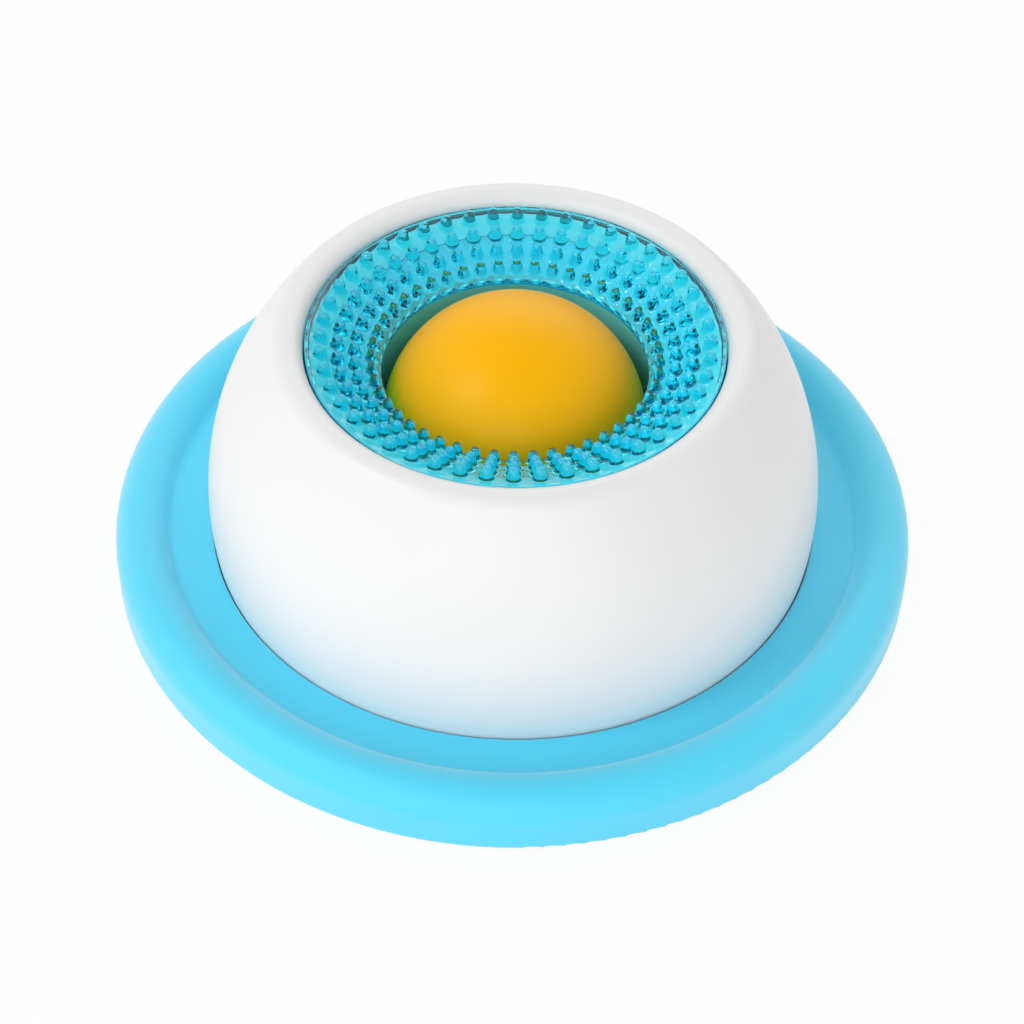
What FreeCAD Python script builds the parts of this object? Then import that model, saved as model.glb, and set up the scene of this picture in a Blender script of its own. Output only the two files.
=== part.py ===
import FreeCAD, Part
import math
import os
from FreeCAD import Vector

# Lick bowl: a white dome on a blue tray, with a food cup, a screw-on ring of round-tipped pins in
# the dome's mouth, and a ball that rolls in the cup. Millimetres, +Z up, origin on the ground at the
# centre. Every round piece is turned from an outline in radius and height.

# Stance
foot_stand = 0.8
plug_stand = 0.4

# Tray
tray_floor_width = 9.6
tray_floor_rise = 11.2
tray_floor_thickness = 2.5
tray_bottom_round = 1.8
rim_bead_radius = 7.2
rim_bead_rise = 9.3
rim_bead_wall = 2.8
rim_foot_round = 2.5
well_floor_thickness = 2.0
well_wall = 2.4
well_gap = 0.35
well_mouth_round = 0.4
tray_rib_count = 12
tray_rib_thickness = 2.0
tray_rib_inset = 1.0

# Grip feet under the tray
foot_count = 6
foot_radius = 6.0
foot_pad_thickness = 2.0
foot_stem_radius = 2.4
foot_stem_length = 4.0
foot_edge_round = 0.5
foot_boss_wall = 1.5
foot_fit = 0.05

# Dome
dome_radius = 79.7
shell_wall = 2.6
crest_rise = 2.3
crest_round = 5.5
mouth_round = 3.9
mouth_gap = 0.4
mouth_wall = 2.4
mouth_depth = 17.2
ledge_width = 3.6
ledge_thickness = 2.4
shell_bore_spare = 1.3
shell_bore_taper = 3.5

# Screws and their posts
screw_count = 4
first_screw_angle = 45.0
screw_inset = 8.5
post_radius = 4.0
post_rib_thickness = 2.0
screw_shank_radius = 1.5
screw_length = 12.0
screw_point_length = 2.0
screw_head_radius = 2.8
screw_head_height = 2.0
screw_head_round = 0.6
screw_slot_length = 3.4
screw_slot_width = 0.8
screw_slot_depth = 1.1
screw_fit = 0.05
screw_hole_gap = 0.2
pilot_spare_depth = 2.0

# Base plate
plate_thickness = 2.0
plate_gap = 0.5
seal_groove_depth = 1.4
seal_groove_lift = 2.8
seal_groove_lip = 1.0
seal_groove_back = 1.6
seal_side_gap = 0.3
pocket_side_gap = 1.5
pocket_depth = 3.5
pocket_wall = 1.2
plug_side_gap = 0.1
plug_head_gap = 0.4

# Ball
ball_radius = 34.0
ball_wall = 2.2
ball_rest_gap = 0.3
ball_joint_height = 2.0
ball_joint_share = 0.5
ball_joint_gap = 0.05

# Ring
ring_rise = 28.8
ring_width = 19.0
ring_catch = 0.3
cone_drop = 9.5
ring_plate = 2.5
ring_edge_round = 0.5
ring_lip_round = 0.4
skirt_wall = 2.8
pin_columns = 48
pin_row_count = 4
first_pin_angle = 90.0
outer_pin_inset = 4.0
inner_pin_inset = 2.3
outer_pin_radius = 1.8
inner_pin_radius = 1.5
outer_pin_height = 4.1
inner_pin_height = 3.7
pin_taper = 0.4
pin_root = 1.0

# Gasket between the ring's skirt and the cup's flange
gasket_inset = 0.2
gasket_thickness = 1.2

# Cup
cup_bottom_gap = 0.4
cup_floor_thickness = 2.0
cup_wall = 2.2
cup_side_gap = 3.0
cup_floor_round = 8.0
cup_edge_round = 0.6
dish_gap = 0.6
dish_thickness = 2.4
neck_wall = 2.2
flange_thickness = 1.8
flange_gap = 0.5
flange_seal_thickness = 1.0
flange_seal_width = 1.6
key_count = 3
first_key_angle = 90.0
key_width = 8.0
key_depth = 3.4
key_reach = 1.0
key_gap = 0.4
rest_count = 3
rest_circle_radius = 13.0
rest_radius = 3.0
rest_height = 1.8

# Screw thread between the ring and the cup
thread_starts = 3
thread_lead = 24.0
thread_radial_gap = 0.4
thread_axial_gap = 0.3
thread_thickness = 1.6
thread_height = 1.1
thread_root = 0.6
cup_thread_arc = 60.0
cup_thread_lift = 2.6
ring_thread_arc = 36.0
ring_thread_lead_in = 14.0

# Heights that several pieces share, from the ground up
tray_bottom = foot_stand
tray_floor_height = tray_bottom + tray_floor_rise
rim_bead_height = tray_bottom + rim_bead_rise
well_floor_height = tray_bottom + well_floor_thickness
housing_bottom = well_floor_height + plug_stand
plate_top = housing_bottom + plate_thickness
pocket_top = housing_bottom + pocket_depth
post_bottom = pocket_top + plate_thickness
cup_bottom = plate_top + cup_bottom_gap
cup_floor_height = cup_bottom + cup_floor_thickness
ball_center_height = cup_floor_height + rest_height + ball_radius
ring_height = ball_center_height + ring_rise
crest_height = ring_height + crest_rise
ledge_height = ring_height - mouth_depth
flange_bottom = ledge_height + flange_seal_thickness
flange_top = flange_bottom + flange_thickness
skirt_bottom = flange_top + gasket_thickness
cup_thread_bottom = flange_top + cup_thread_lift

# Radii that several pieces share, from the ball outwards
cup_inner_radius = ball_radius + cup_side_gap
ring_opening_radius = ball_radius - ring_catch
ring_radius = ring_opening_radius + ring_width
skirt_inner_radius = ring_radius - skirt_wall
neck_radius = skirt_inner_radius - thread_radial_gap - thread_height
mouth_radius = ring_radius + mouth_gap
flange_radius = mouth_radius - flange_gap
mouth_tube_radius = mouth_radius + mouth_wall
ledge_inner_radius = mouth_radius - ledge_width
crest_radius = mouth_radius + mouth_round
cone_slope = cone_drop / ring_width

# The dome is a sphere that runs into the rounded crest without a kink
crest_lift = math.sqrt((dome_radius - crest_round) ** 2 - crest_radius ** 2)
dome_center_height = crest_height - crest_round - crest_lift


def dome_radius_at(height):
    """Radius of the dome's outside at a height."""
    return math.sqrt(dome_radius ** 2 - (height - dome_center_height) ** 2)


shell_bore_radius = dome_radius_at(housing_bottom) - shell_wall
screw_circle_radius = shell_bore_radius - screw_inset
plate_radius = shell_bore_radius - plate_gap
seal_groove_radius = plate_radius - seal_groove_depth
seal_section_radius = (shell_bore_radius - seal_groove_radius) / 2
seal_groove_height = 2 * seal_section_radius + seal_side_gap
plate_rim_height = seal_groove_lift + seal_groove_height + seal_groove_lip
pocket_radius = screw_head_radius + pocket_side_gap
well_mouth_radius = dome_radius_at(tray_floor_height) + well_gap
hollow_inner_radius = well_mouth_radius + well_wall
rim_foot_reach = math.sqrt((rim_bead_radius + rim_foot_round) ** 2
                           - (tray_floor_height + rim_foot_round - rim_bead_height) ** 2)
rim_bead_center = well_mouth_radius + tray_floor_width + rim_foot_reach
tray_radius = rim_bead_center + rim_bead_radius
hollow_outer_radius = tray_radius - rim_bead_wall
foot_circle_radius = (hollow_inner_radius + hollow_outer_radius) / 2


def cone_height(radius):
    """Height of the ring's cone at a radius."""
    return ring_height - cone_slope * (ring_radius - radius)


def via(radius, height):
    """A point that the outline passes on an arc, between the corners before and after it."""
    return ("via", radius, height)


def arc_point(center, arc_radius, degrees):
    """Point on an arc about a center in radius and height, from the outward direction up."""
    angle = math.radians(degrees)
    return (center[0] + arc_radius * math.cos(angle), center[1] + arc_radius * math.sin(angle))


def rounded_corner(before, corner, after, rounding):
    """Two tangent points and the middle of the arc that rounds one corner."""
    to_before = (before - corner).normalize()
    to_after = (after - corner).normalize()
    half_angle = to_before.getAngle(to_after) / 2
    setback = rounding / math.tan(half_angle)
    bisector = (to_before + to_after).normalize()
    center = corner + bisector * (rounding / math.sin(half_angle))
    return corner + to_before * setback, center - bisector * rounding, corner + to_after * setback


def turned(*outline):
    """Solid of revolution about Z. Corners are (radius, height) or (radius, height, rounding)."""
    count = len(outline)
    points = [None if item[0] == "via" else Vector(item[0], 0, item[1]) for item in outline]
    starts = list(points)
    ends = list(points)
    edges = []
    for index, item in enumerate(outline):
        if item[0] != "via" and len(item) == 3:
            before = points[index - 1]
            after = points[(index + 1) % count]
            start, middle, end = rounded_corner(before, points[index], after, item[2])
            edges.append(Part.Arc(start, middle, end).toShape())
            starts[index] = end
            ends[index] = start
    for index, item in enumerate(outline):
        if item[0] == "via":
            middle = Vector(item[1], 0, item[2])
            arc = Part.Arc(starts[index - 1], middle, ends[(index + 1) % count])
            edges.append(arc.toShape())
        elif outline[(index + 1) % count][0] != "via":
            if starts[index].distanceToPoint(ends[(index + 1) % count]) > 1e-6:
                edges.append(Part.makeLine(starts[index], ends[(index + 1) % count]))
    wire = Part.Wire(Part.__sortEdges__(edges))
    return Part.Face(wire).revolve(Vector(0, 0, 0), Vector(0, 0, 1), 360)


def turned_to(shape, degrees):
    """A copy turned about Z."""
    copy = shape.copy()
    copy.rotate(Vector(0, 0, 0), Vector(0, 0, 1), degrees)
    return copy


def moved(shape, x=0.0, y=0.0, z=0.0):
    """A copy moved by a distance."""
    copy = shape.copy()
    copy.translate(Vector(x, y, z))
    return copy


def spread(shape, count, first=0.0):
    """Copies at equal angles about Z."""
    return [turned_to(shape, first + index * 360.0 / count) for index in range(count)]


def upright(radius, bottom, top, x=0.0):
    """Cylinder along Z."""
    return Part.makeCylinder(radius, top - bottom, Vector(x, 0, bottom))


def block(x_low, x_high, width, bottom, top):
    """Box along X, centred on the X axis."""
    return Part.makeBox(x_high - x_low, width, top - bottom, Vector(x_low, -width / 2, bottom))


def solid_ball(radius, center_height):
    return Part.makeSphere(radius, Vector(0, 0, center_height))


def one_solid(shape):
    """The shape's single solid, with needless seams taken out."""
    clean = shape.removeSplitter()
    if len(clean.Solids) != 1:
        raise ValueError("expected one solid, got %d" % len(clean.Solids))
    return clean.Solids[0]


def base_tray():
    """Tray with a rolled rim, a flat floor and a round well that the dome stands in."""
    bead_middle = (rim_bead_center, rim_bead_height)
    hollow_bead = rim_bead_radius - rim_bead_wall
    hollow_top = tray_floor_height - tray_floor_thickness
    foot_middle = (rim_bead_center - rim_foot_reach, tray_floor_height + rim_foot_round)
    foot_angle = math.degrees(math.atan2(foot_middle[1] - rim_bead_height, -rim_foot_reach))
    tray = turned(
        (0, tray_bottom),
        (hollow_inner_radius, tray_bottom),
        (hollow_inner_radius, hollow_top),
        (rim_bead_center - hollow_bead, hollow_top),
        (rim_bead_center - hollow_bead, rim_bead_height),
        via(*arc_point(bead_middle, hollow_bead, 90)),
        (hollow_outer_radius, rim_bead_height),
        (hollow_outer_radius, tray_bottom),
        (tray_radius, tray_bottom, tray_bottom_round),
        (tray_radius, rim_bead_height),
        via(*arc_point(bead_middle, rim_bead_radius, foot_angle / 2)),
        arc_point(bead_middle, rim_bead_radius, foot_angle),
        via(*arc_point(foot_middle, rim_foot_round, (foot_angle - 180 - 90) / 2)),
        (foot_middle[0], tray_floor_height),
        (well_mouth_radius, tray_floor_height, well_mouth_round),
        (dome_radius_at(well_floor_height) + well_gap, well_floor_height),
        (0, well_floor_height),
    )
    rib = block(hollow_inner_radius - well_wall / 2, hollow_outer_radius + rim_bead_wall / 2,
                tray_rib_thickness, tray_bottom + tray_rib_inset, hollow_top + tray_rib_inset)
    boss = upright(foot_radius + foot_boss_wall, tray_bottom, hollow_top + tray_rib_inset,
                   foot_circle_radius)
    pad_hole = upright(foot_radius + foot_fit, 0, foot_pad_thickness, foot_circle_radius)
    stem_top = foot_pad_thickness + foot_stem_length
    stem_hole = upright(foot_stem_radius + foot_fit, 0, stem_top, foot_circle_radius)
    tray = tray.multiFuse(spread(rib, tray_rib_count) + spread(boss, foot_count))
    for hole in spread(pad_hole, foot_count) + spread(stem_hole, foot_count):
        tray = tray.cut(hole)
    return one_solid(tray)


def grip_foot(index):
    """Soft foot with a pad that the bowl stands on and a stem pressed into the tray."""
    stem_top = foot_pad_thickness + foot_stem_length
    foot = turned(
        (0, 0),
        (foot_radius, 0, foot_edge_round),
        (foot_radius, foot_pad_thickness),
        (foot_stem_radius, foot_pad_thickness),
        (foot_stem_radius, stem_top),
        (0, stem_top),
    )
    return turned_to(moved(foot, x=foot_circle_radius), index * 360.0 / foot_count)


def housing_shell():
    """White dome, thin-walled, with a rounded crest and a mouth tube that ends in a ledge."""
    inner_dome_radius = dome_radius - shell_wall
    bore_top = housing_bottom + plate_rim_height + shell_bore_spare
    taper_top = bore_top + shell_bore_taper
    taper_radius = math.sqrt(inner_dome_radius ** 2 - (taper_top - dome_center_height) ** 2)
    dome_center = (0, dome_center_height)
    crest_center = (crest_radius, crest_height - crest_round)
    crest_angle = math.degrees(math.atan2(crest_lift, crest_radius))
    mouth_center = (crest_radius, crest_height - mouth_round)
    inner_round = crest_round - shell_wall
    tube_angle = math.degrees(math.acos((mouth_tube_radius - crest_radius) / inner_round))
    waist_angle = crest_angle / 3
    shell = turned(
        (shell_bore_radius, housing_bottom),
        (dome_radius_at(housing_bottom), housing_bottom),
        via(*arc_point(dome_center, dome_radius, waist_angle)),
        arc_point(dome_center, dome_radius, crest_angle),
        via(*arc_point(crest_center, crest_round, (crest_angle + 90) / 2)),
        (crest_radius, crest_height),
        via(*arc_point(mouth_center, mouth_round, 135)),
        (mouth_radius, crest_height - mouth_round),
        (mouth_radius, ledge_height),
        (ledge_inner_radius, ledge_height),
        (ledge_inner_radius, ledge_height - ledge_thickness),
        (mouth_tube_radius, ledge_height - ledge_thickness),
        arc_point(crest_center, inner_round, tube_angle),
        via(*arc_point(crest_center, inner_round, (crest_angle + tube_angle) / 2)),
        arc_point(dome_center, inner_dome_radius, crest_angle),
        via(*arc_point(dome_center, inner_dome_radius, waist_angle)),
        (taper_radius, taper_top),
        (shell_bore_radius, bore_top),
    )
    post_top = crest_height - crest_round
    inside = solid_ball(inner_dome_radius + shell_wall / 2, dome_center_height)
    inside = inside.cut(upright(mouth_tube_radius, ledge_height - ledge_thickness, post_top))
    post = upright(post_radius, post_bottom, post_top, screw_circle_radius)
    rib = block(screw_circle_radius, dome_radius, post_rib_thickness, taper_top, post_top)
    columns = [column.common(inside) for column in spread(post.fuse(rib), screw_count, first_screw_angle)]
    for column in columns:
        shell = shell.fuse(column)
    pilot_top = pocket_top + screw_length + pilot_spare_depth
    pilot = upright(screw_shank_radius + screw_fit, housing_bottom, pilot_top, screw_circle_radius)
    notch = block(ledge_inner_radius - key_reach, ledge_inner_radius + key_reach + key_gap,
                  key_width + 2 * key_gap, ledge_height - 2 * ledge_thickness, flange_top)
    pilots = spread(pilot, screw_count, first_screw_angle)
    for hole in pilots + spread(notch, key_count, first_key_angle):
        shell = shell.cut(hole)
    return one_solid(shell)


def base_plate():
    """Plate that closes the dome from below, with a grooved rim and four screw pockets."""
    rim_top = housing_bottom + plate_rim_height
    rim_inner = seal_groove_radius - seal_groove_back
    groove_bottom = housing_bottom + seal_groove_lift
    plate = turned(
        (0, housing_bottom),
        (plate_radius, housing_bottom),
        (plate_radius, groove_bottom),
        (seal_groove_radius, groove_bottom),
        (seal_groove_radius, groove_bottom + seal_groove_height),
        (plate_radius, groove_bottom + seal_groove_height),
        (plate_radius, rim_top),
        (rim_inner, rim_top),
        (rim_inner, plate_top),
        (0, plate_top),
    )
    boss = upright(pocket_radius + pocket_wall, housing_bottom, post_bottom, screw_circle_radius)
    plate = plate.multiFuse(spread(boss, screw_count, first_screw_angle))
    pocket = upright(pocket_radius, 0, pocket_top, screw_circle_radius)
    hole = upright(screw_shank_radius + screw_hole_gap, 0, 2 * post_bottom, screw_circle_radius)
    for cutter in spread(pocket.fuse(hole), screw_count, first_screw_angle):
        plate = plate.cut(cutter)
    return one_solid(plate)


def base_plate_seal():
    """O-ring in the plate's groove, against the dome's bore."""
    middle = Vector(0, 0, housing_bottom + seal_groove_lift + seal_groove_height / 2)
    return Part.makeTorus(seal_groove_radius + seal_section_radius, seal_section_radius, middle)


def base_plate_screw(index):
    """Self-tapping screw with a round head and a cross recess, head down."""
    head_bottom = pocket_top - screw_head_height
    tip = pocket_top + screw_length
    screw = turned(
        (0, head_bottom),
        (screw_head_radius, head_bottom, screw_head_round),
        (screw_head_radius, pocket_top),
        (screw_shank_radius, pocket_top),
        (screw_shank_radius, tip - screw_point_length),
        (0, tip),
    )
    half = screw_slot_length / 2
    slot = block(-half, half, screw_slot_width, head_bottom - 1, head_bottom + screw_slot_depth)
    screw = screw.cut(slot).cut(turned_to(slot, 90))
    angle = first_screw_angle + index * 360.0 / screw_count
    return one_solid(turned_to(moved(screw, x=screw_circle_radius), angle))


def screw_plug(index):
    """Soft plug over a screw head, which the dome stands on."""
    plug_radius = pocket_radius - plug_side_gap
    plug_top = pocket_top - screw_head_height - plug_head_gap
    plug = turned(
        (0, well_floor_height),
        (plug_radius, well_floor_height, foot_edge_round),
        (plug_radius, plug_top),
        (0, plug_top),
    )
    angle = first_screw_angle + index * 360.0 / screw_count
    return turned_to(moved(plug, x=screw_circle_radius), angle)


def thread_ridge(inner_radius, outer_radius, bottom, first_angle, arc):
    """Helical ridge of square section, rising anticlockwise from its first angle."""
    middle_radius = (inner_radius + outer_radius) / 2
    rise = thread_lead * arc / 360.0
    path = Part.makeHelix(thread_lead, rise, middle_radius)
    corners = [
        Vector(inner_radius, 0, 0),
        Vector(outer_radius, 0, 0),
        Vector(outer_radius, 0, thread_thickness),
        Vector(inner_radius, 0, thread_thickness),
    ]
    section = Part.makePolygon(corners + [corners[0]])
    sweep = Part.BRepOffsetAPI.MakePipeShell(Part.Wire(path.Edges))
    sweep.setBiNormalMode(Vector(0, 0, 1))
    sweep.add(section)
    sweep.build()
    sweep.makeSolid()
    return turned_to(moved(sweep.shape(), z=bottom), first_angle)


def reservoir_cup():
    """Cup for the food, with a conical dish, a threaded neck, a flange and three ball rests."""
    wall_outer = cup_inner_radius + cup_wall
    neck_inner = neck_radius - neck_wall
    top_drop = ring_plate + dish_gap
    under_drop = top_drop + dish_thickness
    cup = turned(
        (0, cup_bottom),
        (wall_outer, cup_bottom, cup_floor_round + cup_wall),
        (wall_outer, cone_height(wall_outer) - under_drop),
        (neck_inner, cone_height(neck_inner) - under_drop),
        (neck_inner, flange_bottom),
        (flange_radius, flange_bottom),
        (flange_radius, flange_top),
        (neck_radius, flange_top),
        (neck_radius, cone_height(neck_radius) - top_drop, cup_edge_round),
        (cup_inner_radius, cone_height(cup_inner_radius) - top_drop, cup_edge_round),
        (cup_inner_radius, cup_floor_height, cup_floor_round),
        (0, cup_floor_height),
    )
    ridge = thread_ridge(neck_radius - thread_root, neck_radius + thread_height,
                         cup_thread_bottom, 0, cup_thread_arc)
    key = block(neck_inner, ledge_inner_radius + key_reach, key_width,
                flange_bottom - key_depth, flange_bottom + flange_thickness / 2)
    rest = upright(rest_radius, cup_bottom + cup_floor_thickness / 2, ball_center_height,
                   rest_circle_radius)
    rest = rest.cut(solid_ball(ball_radius + ball_rest_gap, ball_center_height))
    keys = spread(key, key_count, first_key_angle)
    for piece in spread(ridge, thread_starts) + keys + spread(rest, rest_count):
        cup = cup.fuse(piece)
    return one_solid(cup)


def flange_seal():
    """Soft ring under the cup's flange, on the dome's ledge."""
    return turned(
        (flange_radius - flange_seal_width, ledge_height),
        (flange_radius, ledge_height),
        (flange_radius, flange_bottom),
        (flange_radius - flange_seal_width, flange_bottom),
    )


def ring_gasket():
    """Flat washer on the cup's flange, under the foot of the ring's skirt."""
    inner_radius = skirt_inner_radius + gasket_inset
    outer_radius = ring_radius - gasket_inset
    return turned(
        (inner_radius, flange_top),
        (outer_radius, flange_top),
        (outer_radius, skirt_bottom),
        (inner_radius, skirt_bottom),
    )


def pin(radius, height):
    """Round-ended, slightly tapered pin, standing up from its root below zero."""
    tip_radius = radius - pin_taper
    shoulder = height - tip_radius
    tip = arc_point((0, shoulder), tip_radius, 45)
    return turned(
        (0, -pin_root),
        (radius, -pin_root),
        (radius, 0),
        (tip_radius, shoulder),
        via(*tip),
        (0, height),
    )


def pin_rows():
    """All pins, in aligned columns, larger towards the rim."""
    outer_row_radius = ring_radius - outer_pin_inset
    inner_row_radius = ring_opening_radius + inner_pin_inset
    pins = []
    for row in range(pin_row_count):
        share = row / (pin_row_count - 1)
        row_radius = outer_row_radius + share * (inner_row_radius - outer_row_radius)
        radius = outer_pin_radius + share * (inner_pin_radius - outer_pin_radius)
        height = outer_pin_height + share * (inner_pin_height - outer_pin_height)
        one = moved(pin(radius, height), x=row_radius, z=cone_height(row_radius))
        pins += spread(one, pin_columns, first_pin_angle)
    return pins


def lick_ring():
    """Clear ring: a cone with pins, a plain inner lip and a skirt with an inside thread."""
    ring = turned(
        (ring_opening_radius, cone_height(ring_opening_radius) - ring_plate, ring_lip_round),
        (skirt_inner_radius, cone_height(skirt_inner_radius) - ring_plate),
        (skirt_inner_radius, skirt_bottom),
        (ring_radius, skirt_bottom),
        (ring_radius, ring_height, ring_edge_round),
        (ring_opening_radius, cone_height(ring_opening_radius), ring_lip_round),
    )
    rise_to_lug = thread_lead * ring_thread_lead_in / 360.0
    lug_bottom = cup_thread_bottom + rise_to_lug - thread_axial_gap - thread_thickness
    lug = thread_ridge(skirt_inner_radius - thread_height, skirt_inner_radius + thread_root,
                       lug_bottom, ring_thread_lead_in, ring_thread_arc)
    for piece in spread(lug, thread_starts):
        ring = ring.fuse(piece)
    return one_solid(ring.multiFuse(pin_rows()))


def ball_half(is_upper):
    """Half of the hollow ball. The lower half's tongue fits inside the upper half's edge."""
    inner_radius = ball_radius - ball_wall
    middle = ball_center_height
    shell = solid_ball(ball_radius, middle).cut(solid_ball(inner_radius, middle))
    split_radius = inner_radius + ball_wall * ball_joint_share
    joint_top = middle + ball_joint_height
    reach = 2 * ball_radius
    if is_upper:
        shell = shell.cut(upright(reach, middle - reach, middle))
        return one_solid(shell.cut(upright(split_radius + ball_joint_gap, middle, joint_top)))
    lower = shell.cut(upright(reach, middle, middle + reach))
    tongue_space = upright(split_radius, middle, joint_top)
    return one_solid(lower.fuse(shell.common(tongue_space)))


def all_nodes():
    """Every piece under its own name."""
    nodes = {
        "base_tray": base_tray(),
        "housing_shell": housing_shell(),
        "base_plate": base_plate(),
        "base_plate_seal": base_plate_seal(),
        "reservoir_cup": reservoir_cup(),
        "flange_seal": flange_seal(),
        "ring_gasket": ring_gasket(),
        "lick_ring": lick_ring(),
        "ball_upper_half": ball_half(True),
        "ball_lower_half": ball_half(False),
    }
    for index in range(foot_count):
        nodes["grip_foot_%d" % (index + 1)] = grip_foot(index)
    for index in range(screw_count):
        nodes["base_plate_screw_%d" % (index + 1)] = base_plate_screw(index)
        nodes["screw_plug_%d" % (index + 1)] = screw_plug(index)
    return nodes


def main():
    os.makedirs("parts", exist_ok=True)
    for name, shape in all_nodes().items():
        if not shape.isValid():
            raise ValueError(name + " is not valid")
        shape.exportStep("parts/%s.step" % name)
        box = shape.BoundBox
        print("%-20s %9.1f mm3  r %.1f  z %.2f to %.2f" % (
            name, shape.Volume, box.XMax, box.ZMin, box.ZMax))


main()
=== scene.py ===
import math

import bmesh
import bpy
from mathutils import Euler, Matrix, Quaternion, Vector


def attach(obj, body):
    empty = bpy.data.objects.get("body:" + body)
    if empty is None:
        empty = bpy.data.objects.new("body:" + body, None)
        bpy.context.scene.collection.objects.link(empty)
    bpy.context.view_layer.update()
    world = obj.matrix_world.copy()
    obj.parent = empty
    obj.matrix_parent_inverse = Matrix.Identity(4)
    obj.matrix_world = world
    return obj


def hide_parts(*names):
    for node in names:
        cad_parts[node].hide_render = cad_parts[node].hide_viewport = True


# Lick bowl: the looks of the tray, dome, cup, clear ring and ball. Metres, +Z up, origin on the
# ground at the centre.

MILLIMETRE = 0.001

# Camera, as the photograph was taken. Angles are in degrees, lens and sensor in millimetres.
camera_target = Vector((-0.2, 0.0, 10.3)) * MILLIMETRE
camera_distance = 682.5 * MILLIMETRE
camera_elevation = 45.44
camera_roll = 0.93
camera_lens = 90.1
camera_sensor = 36.0

# Studio
floor_radius = 3.0
floor_points = 96
floor_whiteness = 0.93
floor_glow_share = 0.95
wall_strength = 1.15
ceiling_strength = 0.35
# degrees above the horizon where the walls end and where the ceiling starts
wall_top = 20.0
ceiling_start = 50.0
lamp_distance = 1.5
# azimuth in degrees from the front towards the right, elevation in degrees, size in metres
lamps = {
    "key": {"azimuth": -70.0, "elevation": 52.0, "size": 0.42, "watts": 4.9},
    "front": {"azimuth": -12.0, "elevation": 30.0, "size": 1.1, "watts": 4.6},
    "back": {"azimuth": 170.0, "elevation": 33.0, "size": 1.1, "watts": 3.8},
}
# how often light may go through clear plastic, and how often it may bounce in all
clear_bounces = 16
most_bounces = 20

# Clear ring: plate and skirt, in millimetres
ring_opening = 33.7
ring_outside = 52.7
ring_top = 72.2
cone_slope = 0.5
plate_depth = 2.5
skirt_inside = 49.9
skirt_foot = 59.0
ring_edge = 0.45
# plate and skirt are two closed shells, with this gap and these small edges between them
joint_gap = 0.02
joint_edge = 0.1
# the plate's underside is frosted from here outwards
frost_inside = 48.2

# Pins of the ring, in millimetres. The sizes go evenly from the outer row to the inner one.
pin_columns = 48
pin_rows = 4
outer_row_radius = 48.7
inner_row_radius = 36.0
outer_pin_radius = 1.8
inner_pin_radius = 1.5
outer_pin_height = 4.1
inner_pin_height = 3.7
pin_taper = 0.4
pin_fillet = 0.3
pin_crown = 0.03
# the fillet's top: its height as a share of pin_fillet, and how far it levels the cone's slope
fillet_rise = 1.4
fillet_flatness = 0.1
# width of the shoulder, and width and rise of the steps over it, as shares of the tip's radius
shoulder_width = 1.04
tip_steps = ((0.9, 0.55), (0.55, 0.9))
# a circle of 12 points draws in when it is subdivided, so it starts larger by this factor
circle_growth = 1.047
# the four points inside a patch lie on a smaller circle, of this share
pin_core = 0.35
# places of a patch's points across a pin, as shares of its half width. Beyond the limit a point
# lies on the patch's edge.
patch_places = (1.0, 1.0 / 3.0, -1.0 / 3.0, -1.0)
patch_limit = 0.5
column_angle = 360.0 / pin_columns
# three steps across a pin and one between two pins
ring_steps = 4 * pin_columns
ring_step = 360.0 / ring_steps
half_patch = 1.5 * ring_step

# Lugs of the ring's thread: angles in degrees, sizes in millimetres. A lug starts and ends on a
# step of the spin. Its foot is the height of its lower side at its start.
lug_count = 3
lug_pitch = 360.0 / lug_count
lug_first_angle = 7.5 * ring_step
lug_arc = 19 * ring_step
lug_foot = 59.43
lug_rise = 2.4
lug_thickness = 1.6
lug_reach = 1.1

# Skin of the mouldings: grain and depth in millimetres. The drifts change colour by a share and
# roughness by an amount, and their scale is per metre.
skin_grain = 0.3
skin_depth = 0.01
skin_detail = 3.0
skin_strength = 0.5
drift_scale = 14.0
drift_detail = 2.0
colour_drift = 0.025
gloss_drift = 0.04

# Index of refraction of the clear plastic
clear_index = 1.57


def direction(azimuth, elevation):
    """Unit vector from the bowl, 0 degrees towards the viewer and 90 to the right."""
    turn = math.radians(azimuth)
    rise = math.radians(elevation)
    return Vector((math.sin(turn) * math.cos(rise), -math.cos(turn) * math.cos(rise), math.sin(rise)))


def add_object(name, data):
    added = bpy.data.objects.new(name, data)
    bpy.context.scene.collection.objects.link(added)
    return added


def add_mesh(name, shape):
    """A bmesh as an object. The bmesh is freed."""
    mesh = bpy.data.meshes.new(name)
    shape.to_mesh(mesh)
    shape.free()
    return add_object(name, mesh)


def make_camera():
    data = bpy.data.cameras.new("camera")
    data.lens = camera_lens
    data.sensor_width = camera_sensor
    camera = add_object("camera", data)
    back = direction(0.0, camera_elevation)
    camera.location = camera_target + back * camera_distance
    camera.rotation_mode = "QUATERNION"
    level = (-back).to_track_quat("-Z", "Y")
    camera.rotation_quaternion = level @ Quaternion((0.0, 0.0, 1.0), math.radians(camera_roll))
    bpy.context.scene.camera = camera


def area_light(name, azimuth, elevation, size, watts):
    data = bpy.data.lights.new(name, "AREA")
    data.energy = watts
    data.size = size
    lamp = add_object(name, data)
    away = direction(azimuth, elevation)
    lamp.location = away * lamp_distance
    lamp.rotation_mode = "QUATERNION"
    lamp.rotation_quaternion = (-away).to_track_quat("-Z", "Y")


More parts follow.
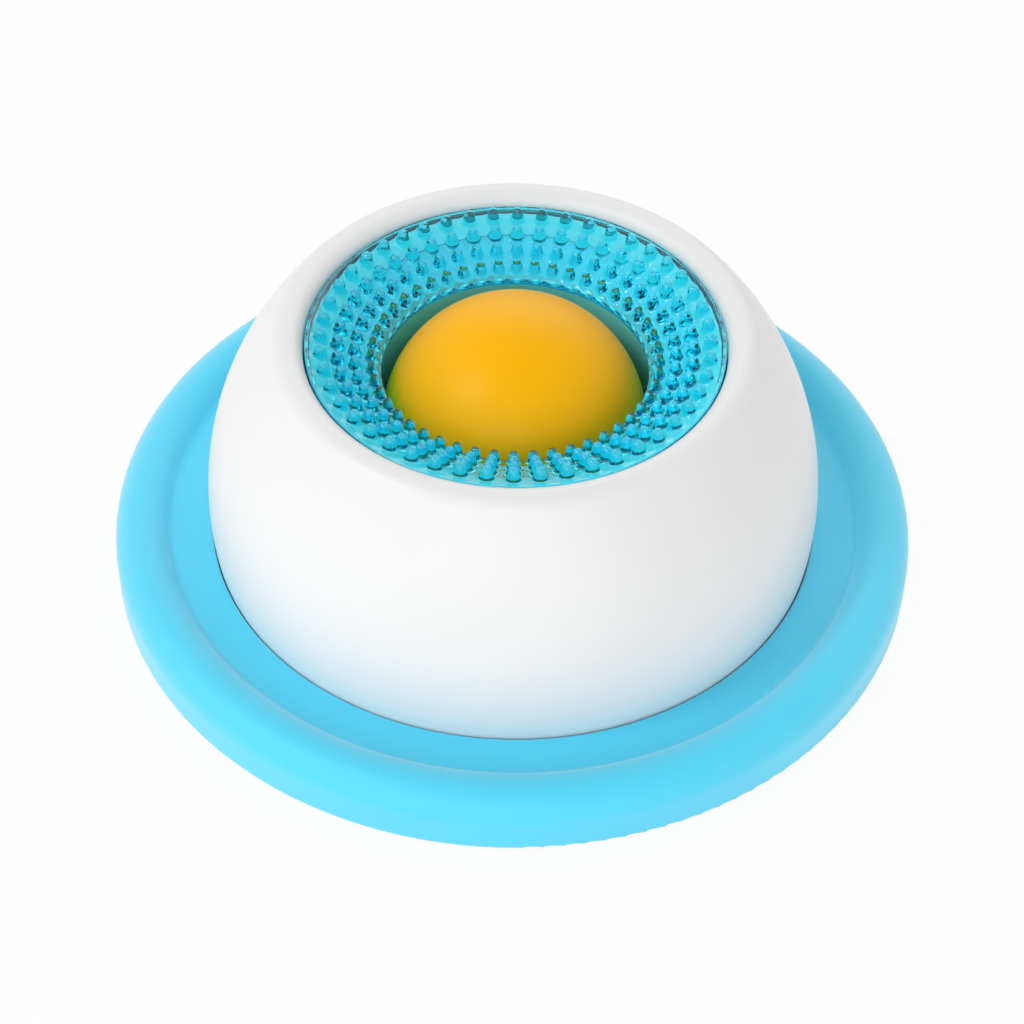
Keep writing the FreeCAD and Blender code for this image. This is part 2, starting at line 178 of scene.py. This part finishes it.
def seen_directly(nodes, links):
    """1 for rays from the camera, off a mirror or through glass, else 0."""
    path = nodes.new("ShaderNodeLightPath")
    either = nodes.new("ShaderNodeMath")
    either.operation = "MAXIMUM"
    links.new(path.outputs["Is Camera Ray"], either.inputs[0])
    links.new(path.outputs["Is Glossy Ray"], either.inputs[1])
    any_of = nodes.new("ShaderNodeMath")
    any_of.operation = "MAXIMUM"
    links.new(either.outputs[0], any_of.inputs[0])
    links.new(path.outputs["Is Transmission Ray"], any_of.inputs[1])
    return any_of.outputs[0]


def make_world():
    """A light tent: bright walls and a dimmer ceiling, which look plain white."""
    world = bpy.data.worlds.new("studio")
    world.use_nodes = True
    nodes = world.node_tree.nodes
    links = world.node_tree.links
    background = nodes["Background"]
    background.inputs["Color"].default_value = (1.0, 1.0, 1.0, 1.0)
    place = nodes.new("ShaderNodeTexCoord")
    height = nodes.new("ShaderNodeSeparateXYZ")
    links.new(place.outputs["Generated"], height.inputs[0])
    tent = nodes.new("ShaderNodeMapRange")
    tent.interpolation_type = "SMOOTHSTEP"
    tent.inputs["From Min"].default_value = math.sin(math.radians(wall_top))
    tent.inputs["From Max"].default_value = math.sin(math.radians(ceiling_start))
    tent.inputs["To Min"].default_value = wall_strength
    tent.inputs["To Max"].default_value = ceiling_strength
    links.new(height.outputs["Z"], tent.inputs["Value"])
    strength = nodes.new("ShaderNodeMapRange")
    strength.inputs["To Max"].default_value = 1.0
    links.new(tent.outputs["Result"], strength.inputs["To Min"])
    links.new(seen_directly(nodes, links), strength.inputs["Value"])
    links.new(strength.outputs["Result"], background.inputs["Strength"])
    bpy.context.scene.world = world


def new_material(name):
    """A material with its nodes and links."""
    material = bpy.data.materials.new(name)
    material.use_nodes = True
    return material, material.node_tree.nodes, material.node_tree.links


def white_paper():
    """Matte white that takes the shadow, and glows where it is seen directly."""
    paper, nodes, links = new_material("white paper")
    nodes.clear()
    matte = nodes.new("ShaderNodeBsdfDiffuse")
    matte.inputs["Color"].default_value = (floor_whiteness, floor_whiteness, floor_whiteness, 1.0)
    glow = nodes.new("ShaderNodeEmission")
    share = nodes.new("ShaderNodeMapRange")
    share.inputs["To Max"].default_value = floor_glow_share
    links.new(seen_directly(nodes, links), share.inputs["Value"])
    mix = nodes.new("ShaderNodeMixShader")
    links.new(share.outputs["Result"], mix.inputs[0])
    links.new(matte.outputs[0], mix.inputs[1])
    links.new(glow.outputs[0], mix.inputs[2])
    out = nodes.new("ShaderNodeOutputMaterial")
    links.new(mix.outputs[0], out.inputs["Surface"])
    return paper


def make_floor():
    shape = bmesh.new()
    bmesh.ops.create_circle(shape, cap_ends=True, segments=floor_points, radius=floor_radius)
    floor = add_mesh("floor", shape)
    floor.data.materials.append(white_paper())


def ring_cone(radius):
    """Height of the ring's cone at a radius."""
    return ring_top - cone_slope * (ring_outside - radius)


def ring_under(radius):
    """Height of the underside of the ring's plate at a radius."""
    return ring_cone(radius) - plate_depth


def corner_point(radius, height, edge=ring_edge):
    """A corner of an outline, and how far it is cut back."""
    return Vector((radius, 0.0, height)), edge


def outline(shape, corners, extras):
    """Closed outline with every corner cut back by its edge. extras gives the points after a corner."""
    points = []
    for index, (corner, edge) in enumerate(corners):
        after, edge_after = corners[(index + 1) % len(corners)]
        way = (after - corner).normalized()
        points.append(shape.verts.new(corner + way * edge))
        points += extras.get(index, [])
        points.append(shape.verts.new(after - way * edge_after))
    for index, point in enumerate(points):
        shape.edges.new((points[index - 1], point))


def pin_share(row):
    """0 for the outer row of pins and 1 for the inner one."""
    return row / (pin_rows - 1)


def pin_row_radius(row):
    return outer_row_radius + pin_share(row) * (inner_row_radius - outer_row_radius)


def pin_radius(row):
    return outer_pin_radius + pin_share(row) * (inner_pin_radius - outer_pin_radius)


def pin_height(row):
    return outer_pin_height + pin_share(row) * (inner_pin_height - outer_pin_height)


def plate_section(shape):
    """Outline of the ring's plate. Marks tell which points bound a pin row."""
    row_mark = shape.verts.layers.int.new("row")
    along_mark = shape.verts.layers.float.new("along")
    row_points = []
    for row in range(pin_rows):
        reach = pin_radius(row) + pin_fillet
        for along in patch_places:
            radius = pin_row_radius(row) + along * reach
            point = shape.verts.new((radius, 0.0, ring_cone(radius)))
            point[row_mark] = row + 1
            point[along_mark] = along
            row_points.append(point)
    frost_point = shape.verts.new((frost_inside, 0.0, ring_under(frost_inside)))
    corners = [
        corner_point(ring_opening, ring_under(ring_opening)),
        corner_point(ring_outside, ring_under(ring_outside), joint_edge),
        corner_point(ring_outside, ring_top),
        corner_point(ring_opening, ring_cone(ring_opening)),
    ]
    outline(shape, corners, {0: [frost_point], 2: row_points})


def skirt_section(shape):
    """Outline of the skirt right under the plate. Marks tell which points bound the lugs."""
    lug_mark = shape.verts.layers.int.new("lug")
    lug_points = []
    for side in (2, 1):
        point = shape.verts.new((skirt_inside, 0.0, lug_foot + (side - 1) * lug_thickness))
        point[lug_mark] = side
        lug_points.append(point)
    corners = [
        corner_point(skirt_inside, ring_under(skirt_inside) - joint_gap, joint_edge),
        corner_point(skirt_inside, skirt_foot),
        corner_point(ring_outside, skirt_foot),
        corner_point(ring_outside, ring_under(ring_outside) - joint_gap, joint_edge),
    ]
    outline(shape, corners, {0: lug_points})


def turn_of(place):
    """Degrees round the bowl from +X."""
    return math.degrees(math.atan2(place.y, place.x))


def mark_columns(shape):
    """Give every point of a pin row its column and its place across the pin."""
    row_mark = shape.verts.layers.int["row"]
    across_mark = shape.verts.layers.float.new("across")
    column_mark = shape.verts.layers.int.new("column")
    for point in shape.verts:
        if point[row_mark]:
            turn = turn_of(point.co)
            column = round(turn / column_angle)
            point[column_mark] = column % pin_columns
            point[across_mark] = (turn - column * column_angle) / half_patch


def pin_patches(shape):
    """The faces of the cone that lie wholly in one row and one column."""
    row_mark = shape.verts.layers.int["row"]
    column_mark = shape.verts.layers.int["column"]
    patches = []
    for face in shape.faces:
        rows = {point[row_mark] for point in face.verts}
        columns = {point[column_mark] for point in face.verts}
        if len(rows) == 1 and len(columns) == 1 and 0 not in rows:
            patches.append(face)
    return patches


def on_circle(along, across):
    """Where a point of a pin's square patch goes on its round base, both from -1 to 1."""
    quarter = math.pi / 4.0
    if abs(along) > abs(across) or (abs(along) == abs(across) and along != 0.0):
        turn = quarter * across / abs(along)
        return math.copysign(math.cos(turn), along), math.sin(turn)
    turn = quarter * along / abs(across)
    return math.sin(turn), math.copysign(math.cos(turn), across)


def pin_levels(row):
    """Radius, height and flatness of each level of a pin, from its base to its crown.

    The height is over the cone at flatness 0, and over the cone at the pin's middle at flatness 1.
    """
    tip = pin_radius(row) - pin_taper
    shoulder = pin_height(row) - tip
    levels = [
        (pin_radius(row) + pin_fillet, 0.0, 0.0),
        (pin_radius(row), pin_fillet * fillet_rise, fillet_flatness),
        (tip * shoulder_width, shoulder, 1.0),
    ]
    levels += [(tip * width, shoulder + tip * rise, 1.0) for width, rise in tip_steps]
    crown_width = tip_steps[-1][0]
    levels.append((tip * crown_width, pin_height(row) + pin_crown, 1.0))
    return levels


def set_pin_level(shape, points, level):
    """Put the points of the pins' patches on the circles of one of the pins' levels."""
    row_mark = shape.verts.layers.int["row"]
    along_mark = shape.verts.layers.float["along"]
    across_mark = shape.verts.layers.float["across"]
    column_mark = shape.verts.layers.int["column"]
    for point in points:
        row = point[row_mark] - 1
        along = point[along_mark]
        across = point[across_mark]
        width, rise, flatness = pin_levels(row)[level]
        is_edge = max(abs(along), abs(across)) > patch_limit
        circle = width * circle_growth * (1.0 if is_edge else pin_core)
        out, side = on_circle(along, across)
        middle = pin_row_radius(row)
        spoke = Vector((middle + circle * out, circle * side, 0.0))
        local = ring_cone(spoke.length)
        spoke.z = local + flatness * (ring_cone(middle) - local) + rise
        spoke.rotate(Euler((0.0, 0.0, math.radians(column_angle) * point[column_mark])))
        point.co = spoke


def draw_out(shape, faces):
    """Extrude a region of faces without leaving the old faces inside."""
    drawn = bmesh.ops.extrude_face_region(shape, geom=faces)["geom"]
    bmesh.ops.delete(shape, geom=faces, context="FACES")
    new_faces = [item for item in drawn if isinstance(item, bmesh.types.BMFace)]
    return new_faces, {point for face in new_faces for point in face.verts}


def raise_pins(shape):
    """Draw every pin up out of its patch of the cone: fillet, shaft, shoulder, tip and crown."""
    crown_level = len(pin_levels(0)) - 1
    patches = pin_patches(shape)
    points = {point for face in patches for point in face.verts}
    set_pin_level(shape, points, 0)
    for level in range(1, crown_level):
        patches, points = draw_out(shape, patches)
        set_pin_level(shape, points, level)
    tops = set(patches)
    crown = [point for point in points if tops.issuperset(point.link_faces)]
    set_pin_level(shape, crown, crown_level)


def lug_turn(place):
    """Degrees from the start of the lug before this place."""
    return (turn_of(place) - lug_first_angle) % lug_pitch


def screw_way(turn):
    """Share of the rise at this turn: 0 to 1 along a lug, and back to 0 at the next one."""
    if turn < lug_arc + 0.5 * ring_step:
        return turn / lug_arc
    return (lug_pitch - turn) / (lug_pitch - lug_arc)


def thread_lugs(shape):
    """Raise the three lugs of the thread from the skirt's inner wall, along the screw line."""
    lug_mark = shape.verts.layers.int["lug"]
    for point in shape.verts:
        if point[lug_mark]:
            point.co.z += lug_rise * screw_way(lug_turn(point.co))
    walls = []
    for face in shape.faces:
        between = {point[lug_mark] for point in face.verts} == {1, 2}
        if between and lug_turn(face.calc_center_median()) < lug_arc:
            walls.append(face)
    for point in draw_out(shape, walls)[1]:
        outward = Vector((point.co.x, point.co.y, 0.0)).normalized()
        point.co -= outward * lug_reach


def frost(shape):
    """Second material for the underside of the plate over the skirt."""
    for face in shape.faces:
        middle = face.calc_center_median()
        radius = math.hypot(middle.x, middle.y)
        if radius > frost_inside and abs(middle.z - ring_under(radius)) < joint_gap / 2.0:
            face.material_index = 1


def drop_marks(shape):
    for layers in (shape.verts.layers.int, shape.verts.layers.float):
        for name in layers.keys():
            layers.remove(layers[name])


def make_ring():
    """The ring: plate and skirt spun round, then pins drawn up from the cone and lugs from the skirt."""
    shape = bmesh.new()
    plate_section(shape)
    skirt_section(shape)
    first_turn = Matrix.Rotation(math.radians(-half_patch), 3, "Z")
    bmesh.ops.rotate(shape, verts=shape.verts, matrix=first_turn)
    bmesh.ops.spin(shape, geom=shape.verts[:] + shape.edges[:], axis=(0.0, 0.0, 1.0),
                   cent=(0.0, 0.0, 0.0), angle=math.tau, steps=ring_steps, use_merge=True)
    mark_columns(shape)
    raise_pins(shape)
    thread_lugs(shape)
    frost(shape)
    bmesh.ops.scale(shape, vec=(MILLIMETRE,) * 3, verts=shape.verts)
    bmesh.ops.recalc_face_normals(shape, faces=shape.faces)
    drop_marks(shape)
    ring = add_mesh("lick_ring_moulding", shape)
    ring.data.shade_smooth()
    fine = ring.modifiers.new("smooth", "SUBSURF")
    fine.levels = 1
    fine.render_levels = 1
    return ring


def object_noise(nodes, links, scale, detail):
    """Noise that stays with its piece. scale is per metre."""
    place = nodes.new("ShaderNodeTexCoord")
    noise = nodes.new("ShaderNodeTexNoise")
    noise.inputs["Scale"].default_value = scale
    noise.inputs["Detail"].default_value = detail
    links.new(place.outputs["Object"], noise.inputs["Vector"])
    return noise.outputs["Fac"]


def moulded(name, colour, roughness, grain=skin_grain, depth=skin_depth, **sockets):
    """Moulded plastic or rubber: a fine skin grain in bump, with small drifts in colour and gloss."""
    material, nodes, links = new_material(name)
    surface = nodes["Principled BSDF"]
    drift = object_noise(nodes, links, drift_scale, drift_detail)
    tint = nodes.new("ShaderNodeMix")
    tint.data_type = "RGBA"
    tint.inputs["A"].default_value = (*[part * (1.0 - colour_drift) for part in colour], 1.0)
    tint.inputs["B"].default_value = (*[min(part * (1.0 + colour_drift), 1.0) for part in colour], 1.0)
    links.new(drift, tint.inputs["Factor"])
    links.new(tint.outputs["Result"], surface.inputs["Base Color"])
    gloss = nodes.new("ShaderNodeMapRange")
    gloss.inputs["To Min"].default_value = roughness - gloss_drift
    gloss.inputs["To Max"].default_value = roughness + gloss_drift
    links.new(drift, gloss.inputs["Value"])
    links.new(gloss.outputs["Result"], surface.inputs["Roughness"])
    bump = nodes.new("ShaderNodeBump")
    bump.inputs["Distance"].default_value = depth * MILLIMETRE
    bump.inputs["Strength"].default_value = skin_strength
    skin = object_noise(nodes, links, 1.0 / (grain * MILLIMETRE), skin_detail)
    links.new(skin, bump.inputs["Height"])
    links.new(bump.outputs["Normal"], surface.inputs["Normal"])
    for socket, value in sockets.items():
        surface.inputs[socket.replace("_", " ")].default_value = value
    return material


def clear_plastic(name, colour, roughness, depth_colour, density, shade):
    """Clear plastic: light takes on depth_colour on its way through, and falls in its shadow as shade."""
    material, nodes, links = new_material(name)
    surface = nodes["Principled BSDF"]
    surface.inputs["Base Color"].default_value = (*colour, 1.0)
    surface.inputs["Roughness"].default_value = roughness
    surface.inputs["IOR"].default_value = clear_index
    surface.inputs["Transmission Weight"].default_value = 1.0
    absorption = nodes.new("ShaderNodeVolumeAbsorption")
    absorption.inputs["Color"].default_value = (*depth_colour, 1.0)
    absorption.inputs["Density"].default_value = density
    out = nodes["Material Output"]
    links.new(absorption.outputs[0], out.inputs["Volume"])
    path = nodes.new("ShaderNodeLightPath")
    let_by = nodes.new("ShaderNodeBsdfTransparent")
    let_by.inputs["Color"].default_value = (*shade, 1.0)
    either = nodes.new("ShaderNodeMixShader")
    links.new(path.outputs["Is Shadow Ray"], either.inputs[0])
    links.new(surface.outputs[0], either.inputs[1])
    links.new(let_by.outputs[0], either.inputs[2])
    links.new(either.outputs[0], out.inputs["Surface"])
    return material


def numbered(start):
    """The names of all nodes that start so."""
    return [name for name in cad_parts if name.startswith(start)]


def give(material, *names):
    """One material for all these nodes."""
    for name in names:
        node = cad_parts[name]
        node.data.materials.clear()
        node.data.materials.append(material)


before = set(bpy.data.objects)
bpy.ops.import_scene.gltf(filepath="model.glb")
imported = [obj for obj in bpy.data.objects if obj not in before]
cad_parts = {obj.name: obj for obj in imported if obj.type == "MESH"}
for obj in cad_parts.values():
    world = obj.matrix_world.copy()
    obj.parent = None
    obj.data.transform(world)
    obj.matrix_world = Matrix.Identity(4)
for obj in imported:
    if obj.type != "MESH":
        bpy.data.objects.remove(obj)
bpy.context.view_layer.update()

scene = bpy.context.scene
scene.view_settings.view_transform = "Standard"
scene.cycles.use_denoising = True
scene.cycles.transmission_bounces = clear_bounces
scene.cycles.max_bounces = most_bounces

make_camera()
make_world()
make_floor()
for name, lamp in lamps.items():
    area_light(name, **lamp)

blue_silicone = moulded("blue silicone", colour=(0.07, 0.68, 0.94), roughness=0.5, grain=0.4, depth=0.02,
                        Sheen_Weight=0.5, Sheen_Roughness=0.5)
white_plastic = moulded("white plastic", colour=(0.82, 0.82, 0.82), roughness=0.42)
cup_plastic = moulded("cup plastic", colour=(0.22, 0.76, 0.88), roughness=0.3)
amber_plastic = moulded("amber plastic", colour=(1.0, 0.48, 0.0), roughness=0.4, Specular_IOR_Level=0.15)
grey_seal = moulded("grey seal", colour=(0.8, 0.85, 0.87), roughness=0.6)
foot_rubber = moulded("foot rubber", colour=(0.3, 0.36, 0.4), roughness=0.6)
screw_steel = moulded("screw steel", colour=(0.6, 0.6, 0.62), roughness=0.3, Metallic=1.0)
give(blue_silicone, "base_tray")
give(white_plastic, "housing_shell", "base_plate")
give(cup_plastic, "reservoir_cup")
give(amber_plastic, "ball_upper_half", "ball_lower_half")
give(grey_seal, "base_plate_seal", "flange_seal", "ring_gasket")
give(foot_rubber, *numbered("grip_foot"), *numbered("screw_plug"))
give(screw_steel, *numbered("base_plate_screw"))

clear_cyan = clear_plastic("clear cyan", colour=(0.97, 1.0, 1.0), roughness=0.02,
                           depth_colour=(0.0, 0.9, 0.958), density=400.0, shade=(0.98, 1.0, 1.0))
frosted_cyan = moulded("frosted cyan", colour=(0.92, 0.99, 0.99), roughness=0.6)
ring = make_ring()
ring.data.materials.append(clear_cyan)
ring.data.materials.append(frosted_cyan)
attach(ring, "ring")
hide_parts("lick_ring")
